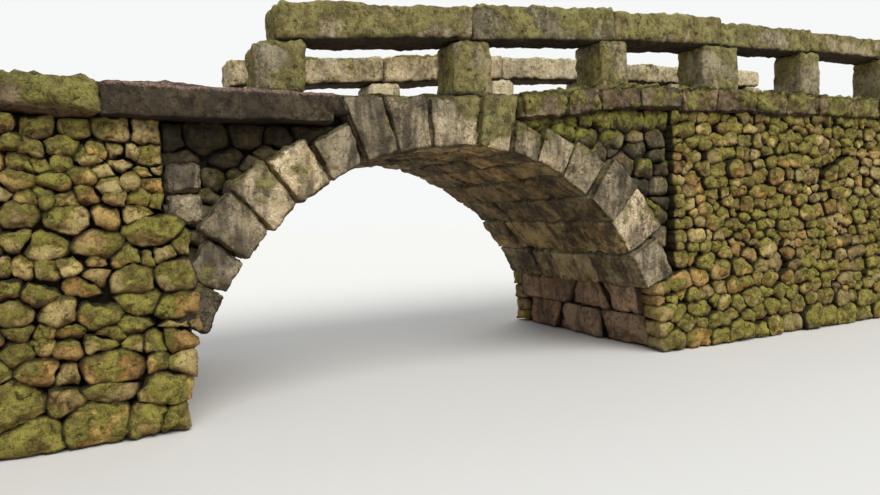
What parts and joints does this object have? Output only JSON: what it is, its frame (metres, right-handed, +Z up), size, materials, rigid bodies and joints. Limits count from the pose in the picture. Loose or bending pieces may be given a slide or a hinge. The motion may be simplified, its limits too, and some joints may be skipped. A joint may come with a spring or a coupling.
{
  "type": "stone arch footbridge",
  "caption": "Rustic granite bridge: a round arch of rough wedge stones between rubble walls, with a railing of stub posts and long stone beams on each side of the road.",
  "frame": {"origin": "on the level of the water at the bottom of the piers, midway between the bridge's two ends and midway between its two faces, which is also the axis of the arch", "axes": "+X along the road, towards the higher right end of the railing, +Y across the bridge from the near face to the far one, +Z up"},
  "size_m": [11.5, 2.33, 3.1126],
  "materials": {
    "ring_granite": "rough split granite, grey-beige, with lichen, open joints and moss near the road",
    "pier_stone": "large rounded granite boulders, brown and damp, mossed on top",
    "spandrel_stone": "coursed rubble and rough blocks in the shade, dry and dark at the joints",
    "wall_rubble": "small rounded rubble, laid dry, under yellow-olive moss",
    "edge_granite": "long split granite slabs, weathered, mossed along the top",
    "mossy_granite": "split granite, thickly mossed above and dark underneath",
    "hearting": "packed rubble and earth",
    "road_earth": "trodden earth over small stones, with moss at the edges"
  },
  "bodies": {
    "root": {"voussoir_01": "ring_granite", "voussoir_02": "ring_granite", "voussoir_03": "ring_granite", "voussoir_04": "ring_granite", "voussoir_05": "ring_granite", "voussoir_06": "ring_granite", "voussoir_07": "ring_granite", "voussoir_08": "ring_granite", "voussoir_09": "ring_granite", "voussoir_10": "ring_granite", "voussoir_11": "ring_granite", "voussoir_12": "ring_granite", "voussoir_13": "ring_granite", "voussoir_14": "ring_granite", "voussoir_15": "ring_granite", "voussoir_16": "ring_granite", "left_abutment": "pier_stone", "left_core": "hearting", "right_abutment": "pier_stone", "right_core": "hearting", "near_left_spandrel": "spandrel_stone", "near_left_wing_wall": "wall_rubble", "near_right_spandrel": "spandrel_stone", "near_right_wing_wall": "wall_rubble", "near_left_edge_slabs": "edge_granite", "near_right_cornice": "edge_granite", "near_posts": "mossy_granite", "near_beam_1": "mossy_granite", "near_beam_2": "mossy_granite", "near_beam_3": "mossy_granite", "near_beam_4": "mossy_granite", "near_beam_5": "mossy_granite", "far_left_spandrel": "spandrel_stone", "far_left_wing_wall": "wall_rubble", "far_right_spandrel": "spandrel_stone", "far_right_wing_wall": "wall_rubble", "far_left_edge_slabs": "edge_granite", "far_right_cornice": "edge_granite", "far_posts": "mossy_granite", "far_beam_1": "mossy_granite", "far_beam_2": "mossy_granite", "far_beam_3": "mossy_granite", "far_beam_4": "mossy_granite", "far_beam_5": "mossy_granite", "road_bed": "road_earth"}
  },
  "joints": []
}
